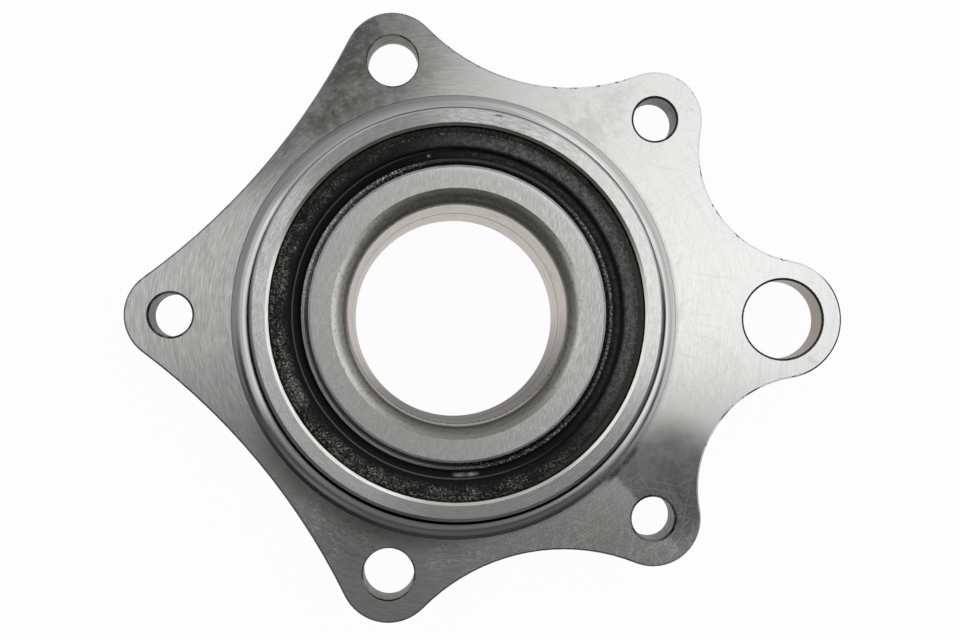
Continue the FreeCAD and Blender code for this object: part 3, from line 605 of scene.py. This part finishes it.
def mouth_painted_shade(graph, shade, roughness):
    """The chamfer of the seal seat is painted darker as shade on its upper side and a little below."""
    place = graph.place()
    darkening = graph.larger(graph.towards(place, 90.0, 0.12, 0.62, 0.0, 0.90),
                        graph.towards(place, 284.0, 0.80, 0.98, 0.0, 0.55))
    return graph.blend(darkening, shade, MOUTH_SHADE), roughness


def bore_marks_and_shade(graph, shade, roughness):
    """Brown handling marks in the bore, and a rougher lower side painted dark as shade."""
    place = graph.place()
    marks = graph.ramp(graph.noise(place, 260.0, detail=5.0, roughness=0.75), 0.54, 0.66)
    shade = graph.blend(graph.times(marks, 0.6), shade, HAND_MARKS)
    # Painted shade on the lower side of the bore
    side_shade = graph.towards(place, 280.0, 0.0, 0.85, 0.08, 0.90)
    roughness = graph.plus(roughness, graph.times(side_shade, 0.15))
    return graph.blend(side_shade, shade, BORE_SHADE), roughness


def sheet_shade_and_glints(graph, shade, roughness):
    """Painted shade over the slinger except at the left, where it keeps its light, and painted glints
    on grease.
    """
    place = graph.place()
    # Painted shade: the slinger is darkened everywhere but at the left
    right_half_shade = graph.towards(place, 18.0, -0.75, -0.05, 0.15, 0.88)
    shade = graph.blend(right_half_shade, shade, SHEET_SHADE)
    # Painted highlights: white glints on specks of grease
    glints = graph.group(specks, Size_mm=0.45, Amount=0.88)["Mask"]
    greasy = graph.larger(graph.towards(place, 142.0, 0.72, 0.92),
                          graph.towards(place, 295.0, 0.84, 0.97, 0.0, 0.6))
    greasy = graph.larger(greasy, graph.towards(place, 5.0, 0.6, 0.95, 0.04, 0.35))
    glints = graph.times(glints, greasy)
    return graph.blend(graph.times(glints, 0.8), shade, GREASE_GLINT), roughness


def edge_wear_and_light(graph, shade):
    """Dark nicks where the broken edge was knocked, a dark ear tip, a painted pale highlight on the
    right and painted shade at the upper left and below.
    """
    place = graph.place()
    # Painted highlight on the right of the edge, and painted shade at the upper left and below
    shade = graph.blend(graph.towards(place, 20.0, 0.1, 0.6), shade, PALE_EDGE)
    shade = graph.blend(graph.towards(place, 135.0, 0.2, 0.7, 0.0, 0.5), shade, EDGE_LINE)
    grime_and_shade = graph.towards(place, 255.0, 0.0, 0.6, 0.0, 0.85)
    shade = graph.blend(grime_and_shade, shade, EDGE_SHADE)
    shade = graph.blend(graph.near(place, EAR_TIP, 10.0, 15.0), shade, KNOCK_BLACK)
    knocks = graph.larger(graph.near(place, RIGHT_KNOCK, 1.2, 2.6),
                          graph.near(place, LEFT_KNOCK, 1.4, 2.8))
    shade = graph.blend(graph.times(knocks, 0.9), shade, KNOCK_BLACK)
    nicks = graph.ramp(graph.noise(place, 480.0, detail=4.0, roughness=0.7), 0.55, 0.62)
    return graph.blend(graph.times(nicks, 0.85), shade, NICK_BLACK)


def case_wear(graph, shade):
    """Crumbs and dust on the rim of the seal case, most of them at the left and below."""
    crumbs = graph.group(specks, Size_mm=0.38, Amount=0.95)["Mask"]
    share = graph.towards(graph.place(), 225.0, -0.1, 0.7, 0.10, 0.75)
    shade = graph.blend(graph.times(crumbs, share), shade, CASE_CRUMBS)
    dust = graph.towards(graph.place(), 350.0, 0.5, 0.9, 0.0, 0.7)
    return graph.blend(dust, shade, CASE_DUST)


def drilled_wear(graph, shade):
    """Tool streaks and pale grains on the wall of a hole."""
    place = graph.place()
    stretched = graph.add("ShaderNodeVectorMath", operation="MULTIPLY")
    graph.put(stretched.inputs[0], place)
    stretched.inputs[1].default_value = (1.0, 1.0, 3.5)
    streaks = graph.noise(stretched.outputs[0], 420.0, detail=5.0, roughness=0.7)
    shade = graph.blend(graph.ramp(streaks, 0.46, 0.68, 0.0, 0.55), shade, TOOL_STREAK)
    return graph.blend(graph.ramp(streaks, 0.36, 0.50, 0.75, 0.0), shade, TOOL_SHADOW)


def hole_edge_wear(graph, shade):
    """The edges of the holes are grimy in patches, all over on the right half of the flange."""
    place = graph.place()
    grime_and_shade = graph.larger(graph.ramp(graph.noise(place, 260.0, detail=3.0), 0.45, 0.58, 0.0, 0.9),
                         graph.towards(place, 30.0, 0.5, 0.8, 0.0, 0.8))
    return graph.blend(grime_and_shade, shade, HOLE_GRIME)


def ground_steel(name, colour, rough):
    """Surface ground steel: straight fine streaks, hairlines and pits, and a painted highlight on the
    outer rim at the upper right.
    """
    material, graph, shader = new_material(name)
    shader.inputs["Metallic"].default_value = 1.0
    streaks = graph.group(grinding_marks, Width_mm=0.15, Length_mm=2.2)["Height"]
    lines = graph.group(scratches, Amount=0.85, Length_mm=5.0, Width_mm=0.12)["Mask"]
    pits = graph.group(specks, Size_mm=0.5, Amount=0.35)["Mask"]
    tone = graph.ramp(streaks, 0.34, 0.66)
    darker = tuple(part * 0.80 for part in colour) + (1.0,)
    lighter = tuple(min(part * 1.10, 0.97) for part in colour) + (1.0,)
    shade = graph.blend(tone, darker, lighter)
    shade = graph.blend(graph.times(lines, 0.35), shade, GROUND_HAIRLINE)
    shade = graph.blend(graph.times(pits, 0.35), shade, GROUND_PIT)
    place = graph.place()
    distance = graph.around_axis(place)[0]
    # Painted highlight on the outer rim of the face at the upper right
    rim_highlight = graph.times(graph.towards(place, 66.0, 0.62, 0.97),
                         graph.ramp(distance, 28.6 * MM, 30.3 * MM))
    shade = graph.blend(graph.times(rim_highlight, 0.75), shade, BRIGHT_RIM)
    scored = graph.larger(graph.ramp(streaks, 0.50, 0.70), lines)
    scored = graph.times(scored, graph.towards(place, 262.0, -0.1, 0.7, 0.0, 0.55))
    shade = graph.blend(scored, shade, FRESH_STEEL_AND_HIGHLIGHT)
    graph.put(shader.inputs["Base Color"], shade)
    graph.put(shader.inputs["Roughness"],
              graph.plus(rough, graph.times(graph.minus(tone, 0.5), -0.1)))
    bumped(graph, shader, graph.minus(streaks, graph.times(lines, 0.3)), 0.0016)
    return material


def plain_steel(name, colour, rough, speck=0.3, depth=0.003, wear_and_light=None):
    """Steel with an even, slightly pitted finish."""
    material, graph, shader = new_material(name)
    shader.inputs["Metallic"].default_value = 1.0
    pits = graph.group(specks, Size_mm=0.4, Amount=speck)["Mask"]
    cloud = graph.noise(graph.place(), 180.0, detail=4.0, roughness=0.6)
    darker = tuple(part * 0.78 for part in colour) + (1.0,)
    shade = graph.blend(graph.ramp(cloud, 0.3, 0.7), darker, colour + (1.0,))
    shade = graph.blend(graph.times(pits, 0.6), shade, PLAIN_PIT)
    if wear_and_light:
        shade = wear_and_light(graph, shade)
    graph.put(shader.inputs["Base Color"], shade)
    graph.put(shader.inputs["Roughness"], graph.plus(rough, graph.times(cloud, 0.08)))
    bumped(graph, shader, graph.minus(cloud, pits), depth)
    return material


def seal_rubber_material():
    """Black nitrile rubber: painted sheen on the right side, crumbs near the case, a painted highlight
    on the bead, grease smears.
    """
    material, graph, shader = new_material("seal_rubber_black")
    shader.inputs["Specular IOR Level"].default_value = 0.16
    place = graph.place()
    distance = graph.around_axis(place)[0]
    grain = graph.noise(place, 2600.0, detail=2.0, roughness=0.7)
    patches = graph.noise(place, 300.0, detail=3.0)
    shade = graph.blend(grain, RUBBER_BLACK, RUBBER_GRAIN)

    # Painted sheen on the right, and a finer moulded texture
    band = graph.times(graph.ramp(distance, 33.7 * MM, 34.8 * MM),
                       graph.ramp(distance, 35.7 * MM, 37.4 * MM, 1.0, 0.15))
    lip = graph.times(graph.ramp(distance, 31.4 * MM, 33.1 * MM, 0.0, 0.5),
                      graph.ramp(distance, 33.2 * MM, 33.6 * MM, 1.0, 0.0))
    painted_sheen = graph.times(graph.towards(place, 30.0, 0.10, 0.85), graph.plus(band, lip))
    painted_sheen = graph.times(painted_sheen, graph.ramp(grain, 0.30, 0.70, 0.30, 1.0))
    texture = graph.noise(place, 900.0, detail=3.0, roughness=0.7)
    painted_sheen = graph.times(painted_sheen, graph.ramp(texture, 0.38, 0.60, 0.55, 1.1))
    shade = graph.blend(graph.times(painted_sheen, 0.90), shade, RUBBER_SHEEN)

    # Crumbs, heaviest at the lower left and beside the case
    outer = graph.times(graph.ramp(distance, 34.4 * MM, 36.4 * MM),
                        graph.ramp(distance, 37.0 * MM, 37.9 * MM, 1.0, 0.3))
    heavy = graph.towards(place, 218.0, -0.35, 0.85, 0.12, 1.0)
    clusters = graph.ramp(patches, 0.40, 0.58, 0.20, 1.0)
    fine_crumbs = graph.group(specks, Size_mm=0.24, Amount=0.92)["Mask"]
    large_crumbs = graph.group(specks, Size_mm=0.42, Amount=0.82)["Mask"]
    crumbs = graph.larger(graph.times(fine_crumbs, 0.65), large_crumbs)
    crumbs = graph.times(graph.times(crumbs, clusters), graph.times(outer, heavy))
    row = graph.times(graph.on_circle(distance, case_inner_radius, 0.1, 0.6),
                      graph.towards(place, 50.0, 0.0, 0.6, 0.0, 0.8))
    crumbs = graph.larger(crumbs, graph.times(large_crumbs, row))
    shade = graph.blend(crumbs, shade, RUBBER_CRUMBS)

    # Bead of the lip catches the light, and two smears of grease lie beside it
    bead = graph.times(graph.on_circle(distance, bead_radius, 0.06, 0.20),
                       graph.towards(place, 200.0, -0.5, 0.4, 0.0, 0.8))
    shade = graph.blend(bead, shade, RUBBER_BEAD)
    flat_place = graph.add("ShaderNodeVectorMath", operation="MULTIPLY")
    graph.put(flat_place.inputs[0], place)
    flat_place.inputs[1].default_value = (1.0, 1.0, 0.0)
    flat_place = flat_place.outputs[0]
    smears = graph.larger(graph.near(flat_place, LEFT_SMEAR, 0.2, 2.0),
                          graph.near(flat_place, RIGHT_SMEAR, 0.1, 1.8))
    smears = graph.larger(smears, graph.near(flat_place, GREASE_DROP, 0.1, 0.5))
    smears = graph.times(smears, graph.ramp(patches, 0.30, 0.60, 0.35, 1.0))
    smears = graph.times(smears, graph.on_circle(distance, smear_radius, 0.1, 0.6))
    shade = graph.blend(graph.times(smears, 0.80), shade, GREASE)
    graph.put(shader.inputs["Base Color"], shade)
    graph.put(shader.inputs["Roughness"], graph.plus(0.40, graph.times(grain, 0.2)))
    bumped(graph, shader, graph.plus(graph.times(grain, 0.5), crumbs), 0.05)
    return material


def cage_material():
    """Moulded polyamide with short glass fibres."""
    material, graph, shader = new_material("cage_polyamide")
    fibres = graph.noise(graph.place(), 900.0, detail=3.0, roughness=0.7)
    graph.put(shader.inputs["Base Color"], graph.blend(fibres, CAGE_DARK, CAGE_LIGHT))
    graph.put(shader.inputs["Roughness"], graph.plus(0.45, graph.times(fibres, 0.15)))
    bumped(graph, shader, fibres, 0.01)
    return material


(FACE, RELIEF, RING, SPIGOT, WALL, EDGE, BACK, INSIDE, DARK_HOLE, WARM_HOLE, PALE_HOLE,
 SHOULDER, MOUTH, HOLE_EDGE) = range(14)


def flange_holes():
    """Each hole of the flange: its centre, its radius and the finish of its wall."""
    narrow = mounts["narrow_bolt_pair"]
    wide = mounts["wide_bolt_pair"]
    large = mounts["large_hole"]
    tail = mounts["tail_bolt_hole"]
    holes = [
        (tail["pos_m"][0], 0.0, tail["dims"]["r_mm"] * MM, DARK_HOLE),
        (large["pos_m"][0], 0.0, large["dims"]["r_mm"] * MM, WARM_HOLE),
    ]
    for pair, finish in ((narrow, DARK_HOLE), (wide, PALE_HOLE)):
        for side in (1, -1):
            holes.append((pair["pos_m"][0], side * pair["dims"]["spacing_y_mm"] * MM / 2,
                          pair["dims"]["hole_r_mm"] * MM, finish))
    return holes


def surface_kind(centre, normal, holes):
    """Which surface of the outer ring a small face belongs to."""
    hair = 0.02 * MM
    distance = math.hypot(centre.x, centre.y)
    if centre.z > ring_face - hair:
        return RING
    if normal.z < -0.99:
        return BACK
    if distance < spigot_radius - ring_face_width:
        return MOUTH if normal.z > 0.3 and centre.z > ring_face - mouth_depth else INSIDE
    if centre.z > ring_face - spigot_lead_in - hair:
        return SHOULDER
    if distance < relief_radius - hair:
        return RELIEF if flange_back / 2 < centre.z < relief_top else SPIGOT
    if normal.z > 0.99:
        return FACE
    for x, y, radius, finish in holes:
        if math.hypot(centre.x - x, centre.y - y) < radius + hole_edge_width:
            return HOLE_EDGE if abs(normal.z) > 0.3 else finish
    return EDGE if abs(normal.z) > 0.3 else WALL


def dress_outer_ring():
    """Give each surface of the outer ring its own finish."""
    ring = nodes["flanged_outer_ring"]
    finishes = [
        turned_steel("flange_turned_face", WHITE_STEEL, 0.19, pitch=0.24, depth=0.0001, streak=6.0,
                     contrast=0.26, scratch=0.25, swing=0.03, wear_and_light=flange_wear_and_painted_light),
        turned_steel("relief_turned_floor", GREY_STEEL, 0.13, pitch=0.25, depth=0.0004, contrast=0.15,
                     scratch=0.1, speck=0.1, stretch=0.1, swing=0.03, streak=40.0, wear_and_light=relief_painted_light),
        turned_steel("ring_end_face", (0.88, 0.88, 0.865), 0.30, pitch=0.3, depth=0.001, contrast=0.26,
                     scratch=0.15, speck=0.5, stretch=0.6, streak=5.0, wear_and_light=ring_face_wear_and_light),
        turned_steel("spigot_ground", GREY_STEEL, 0.26, pitch=0.3, depth=0.002, contrast=0.12,
                     scratch=0.2),
        plain_steel("flange_milled_wall", (0.42, 0.42, 0.41), 0.45, speck=0.5),
        plain_steel("flange_broken_edge", (0.50, 0.50, 0.49), 0.60, speck=0.6, wear_and_light=edge_wear_and_light),
        turned_steel("flange_turned_back", (0.5, 0.5, 0.49), 0.42, pitch=0.6, contrast=0.3),
        turned_steel("seal_seat_turned", WHITE_STEEL, 0.3, pitch=0.3, contrast=0.15),
        plain_steel("hole_drilled_dark", (0.05, 0.049, 0.045), 0.42, speck=0.5, wear_and_light=drilled_wear),
        plain_steel("hole_reamed_warm", (0.25, 0.215, 0.17), 0.34, speck=0.4),
        plain_steel("hole_reamed_pale", (0.19, 0.187, 0.165), 0.50, speck=0.6, wear_and_light=drilled_wear),
        turned_steel("spigot_lead_in", GREY_STEEL, 0.3, pitch=0.3, contrast=0.1, wear_and_light=shoulder_darkening_and_shade),
        turned_steel("seal_mouth_chamfer", (0.92, 0.92, 0.90), 0.12, pitch=0.3, depth=0.0005,
                     contrast=0.08, scratch=0.1, speck=0.1, wear_and_light=mouth_painted_shade),
        plain_steel("hole_broken_edge", (0.42, 0.42, 0.41), 0.40, speck=0.8, wear_and_light=hole_edge_wear),
    ]
    ring.data.materials.clear()
    for finish in finishes:
        ring.data.materials.append(finish)
    holes = flange_holes()
    for face in ring.data.polygons:
        face.material_index = surface_kind(face.center, face.normal, holes)


def dress_inner_rings():
    """Ground faces, turned lead-in and corners, warm bore on both inner rings."""
    finishes = [
        ground_steel("inner_ring_ground", (0.72, 0.72, 0.70), 0.30),
        turned_steel("inner_ring_lead_in", (0.40, 0.40, 0.38), 0.36, pitch=0.3, contrast=0.25,
                     speck=0.6, wear_and_light=lead_in_grain_and_light),
        turned_steel("inner_ring_bore", WARM_STEEL, 0.3, pitch=0.3, depth=0.002, contrast=0.12,
                     scratch=0.2, streak=30.0, wear_and_light=bore_marks_and_shade),
        turned_steel("inner_ring_corner", WHITE_STEEL, 0.5, contrast=0.25, speck=0.4),
    ]
    for name in ("inner_ring_front", "inner_ring_rear"):
        ring = nodes[name]
        ring.data.materials.clear()
        for finish in finishes:
            ring.data.materials.append(finish)
        for face in ring.data.polygons:
            distance = math.hypot(face.center.x, face.center.y)
            if abs(face.normal.z) > 0.98:
                face.material_index = 0
            elif distance < bore_radius + 0.1 * MM:
                face.material_index = 2
            elif distance < inner_high.x - inner_corner_width:
                face.material_index = 1
            else:
                face.material_index = 3


def dress(names, finish):
    """Give whole nodes one finish."""
    for name in names:
        data = nodes[name].data
        data.materials.clear()
        data.materials.append(finish)


dress_outer_ring()
dress_inner_rings()
dress(["seal_rubber_front", "seal_rubber_rear"], seal_rubber_material())
dress(["seal_case_front", "seal_case_rear"],
      plain_steel("seal_case_phosphated", (0.026, 0.025, 0.020), 0.46, speck=0.6, wear_and_light=case_wear))
dress(["slinger_front", "slinger_rear"],
      turned_steel("slinger_sheet", (0.40, 0.40, 0.40), 0.3, contrast=0.3, streak=8.0,
                   wear_and_light=sheet_shade_and_glints))
dress(["inner_ring_clip"], plain_steel("clip_spring_steel", (0.3, 0.3, 0.31), 0.35))
dress(["cage_front", "cage_rear"], cage_material())
dress([name for name in nodes if name.startswith("ball_")],
      plain_steel("ball_lapped", (0.8, 0.8, 0.82), 0.08, speck=0.0, depth=0.0005))


# Studio
def make_floor():
    """Pale floor under the bearing, white in the picture, with the bearing's shadow."""
    bpy.ops.mesh.primitive_plane_add(size=12.0, location=(0, 0, back_face - floor_gap))
    floor = bpy.context.object
    floor.name = "studio_floor"
    material, graph, shader = new_material("floor_paper")
    tree = material.node_tree
    shader.inputs["Base Color"].default_value = (0.8, 0.8, 0.8, 1.0)
    shader.inputs["Roughness"].default_value = 0.9
    shader.inputs["Specular IOR Level"].default_value = 0.0
    rays = graph.add("ShaderNodeLightPath")
    seen = graph.larger(rays.outputs["Is Camera Ray"], rays.outputs["Is Glossy Ray"])
    seen = graph.larger(seen, rays.outputs["Is Transmission Ray"])
    glow = graph.add("ShaderNodeEmission")
    glow.inputs["Color"].default_value = (1.0, 1.0, 1.0, 1.0)
    paper = graph.add("ShaderNodeMixShader")
    graph.put(paper.inputs[0], graph.times(seen, 0.97))
    graph.put(paper.inputs[1], shader.outputs[0])
    graph.put(paper.inputs[2], glow.outputs[0])
    clear = graph.add("ShaderNodeBsdfTransparent")
    side = graph.add("ShaderNodeNewGeometry")
    whole = graph.add("ShaderNodeMixShader")
    graph.put(whole.inputs[0], side.outputs["Backfacing"])
    graph.put(whole.inputs[1], paper.outputs[0])
    graph.put(whole.inputs[2], clear.outputs[0])
    graph.put(tree.nodes["Material Output"].inputs["Surface"], whole.outputs[0])
    floor.data.materials.append(material)


def make_world():
    """Room light: pale walls, a bright ceiling panel at the right and a dim front side."""
    world = bpy.data.worlds.new("studio_room")
    bpy.context.scene.world = world
    world.use_nodes = True
    graph = Graph(world.node_tree)
    split = graph.add("ShaderNodeSeparateXYZ")
    graph.put(split.inputs[0], graph.add("ShaderNodeTexCoord").outputs["Generated"])
    x, y, z = split.outputs
    flat = graph.math("SQRT", graph.plus(graph.times(x, x), graph.times(y, y)))
    flat = graph.larger(flat, 0.001)

    def facing(azimuth):
        """How far the direction turns towards an azimuth, from -1 to 1."""
        turn = math.radians(azimuth)
        along = graph.plus(graph.times(x, math.cos(turn)), graph.times(y, math.sin(turn)))
        return graph.over(along, flat)

    panel = graph.ramp(x, -0.02, 0.15, PANEL_LEFT, PANEL_RIGHT)
    shade_start = graph.ramp(x, -0.10, 0.14, -0.060, -0.050)
    shade_end = graph.ramp(x, -0.10, 0.14, 0.020, -0.040)
    lit = graph.ramp(y, shade_start, shade_end, FRONT_SHADE, 1.0)
    ceiling = graph.times(graph.times(panel, lit), graph.ramp(y, 0.05, 0.20, 1.0, 0.78))
    stand = graph.add("ShaderNodeVectorMath", operation="DISTANCE")
    graph.put(stand.inputs[0], graph.join(x, y, 0.0))
    stand.inputs[1].default_value = (-0.040, 0.145, 0.0)
    ceiling = graph.times(ceiling, graph.ramp(stand.outputs["Value"], 0.012, 0.055, 0.55, 1.0))
    ceiling = graph.times(ceiling, graph.ramp(x, 0.27, 0.33, 1.0, 0.55))
    tail_glow = graph.times(graph.ramp(x, -0.20, -0.12, 0.22, 0.0),
                            graph.ramp(x, -0.27, -0.22, 0.0, 1.0))
    ceiling = graph.plus(ceiling, tail_glow)
    ceiling = graph.plus(ceiling, graph.ramp(y, -0.17, -0.11, 0.16, 0.0))

    right_wall = graph.ramp(facing(12.0), 0.45, 0.90, 0.0, 1.15)
    left_wall = graph.ramp(facing(176.0), 0.80, 0.91, 0.0, 1.0)
    back_wall = graph.ramp(facing(90.0), 0.0, 0.8, 0.0, 0.55)
    sides = graph.plus(graph.plus(right_wall, left_wall), back_wall)
    sides = graph.math("MINIMUM", graph.plus(sides, 0.06), 1.2)
    low_sides = graph.ramp(facing(50.0), -0.55, 0.95, 0.0, 0.36)
    pale = graph.ramp(facing(78.0), -0.60, 0.0, 0.40, 0.95)

    def band(value, low, high, below, above):
        """One light below a band of the value and another above it."""
        return graph.plus(graph.times(above, graph.ramp(value, low, high, 0.0, 1.0)),
                          graph.times(below, graph.ramp(value, low, high, 1.0, 0.0)))

    upper = band(flat, 0.34, 0.46, ceiling, sides)
    level = band(z, 0.12, 0.32, pale, band(z, 0.52, 0.66, low_sides, upper))
    background = world.node_tree.nodes["Background"]
    graph.put(background.inputs["Color"], graph.join(level, level, level))
    background.inputs["Strength"].default_value = 1.0


def make_camera():
    """The photograph's view: from above, a little off the bearing axis."""
    data = bpy.data.cameras.new("photo_camera")
    data.lens = CAMERA_LENS
    data.sensor_width = 36.0
    camera = bpy.data.objects.new("photo_camera", data)
    bpy.context.scene.collection.objects.link(camera)
    camera.location = [part * MM for part in CAMERA_PLACE]
    camera.rotation_euler = [math.radians(angle) for angle in CAMERA_TURN]
    data.clip_start = 0.01
    data.clip_end = 30.0
    bpy.context.scene.camera = camera


make_floor()
make_world()
make_camera()
bpy.context.scene.view_settings.view_transform = "Standard"
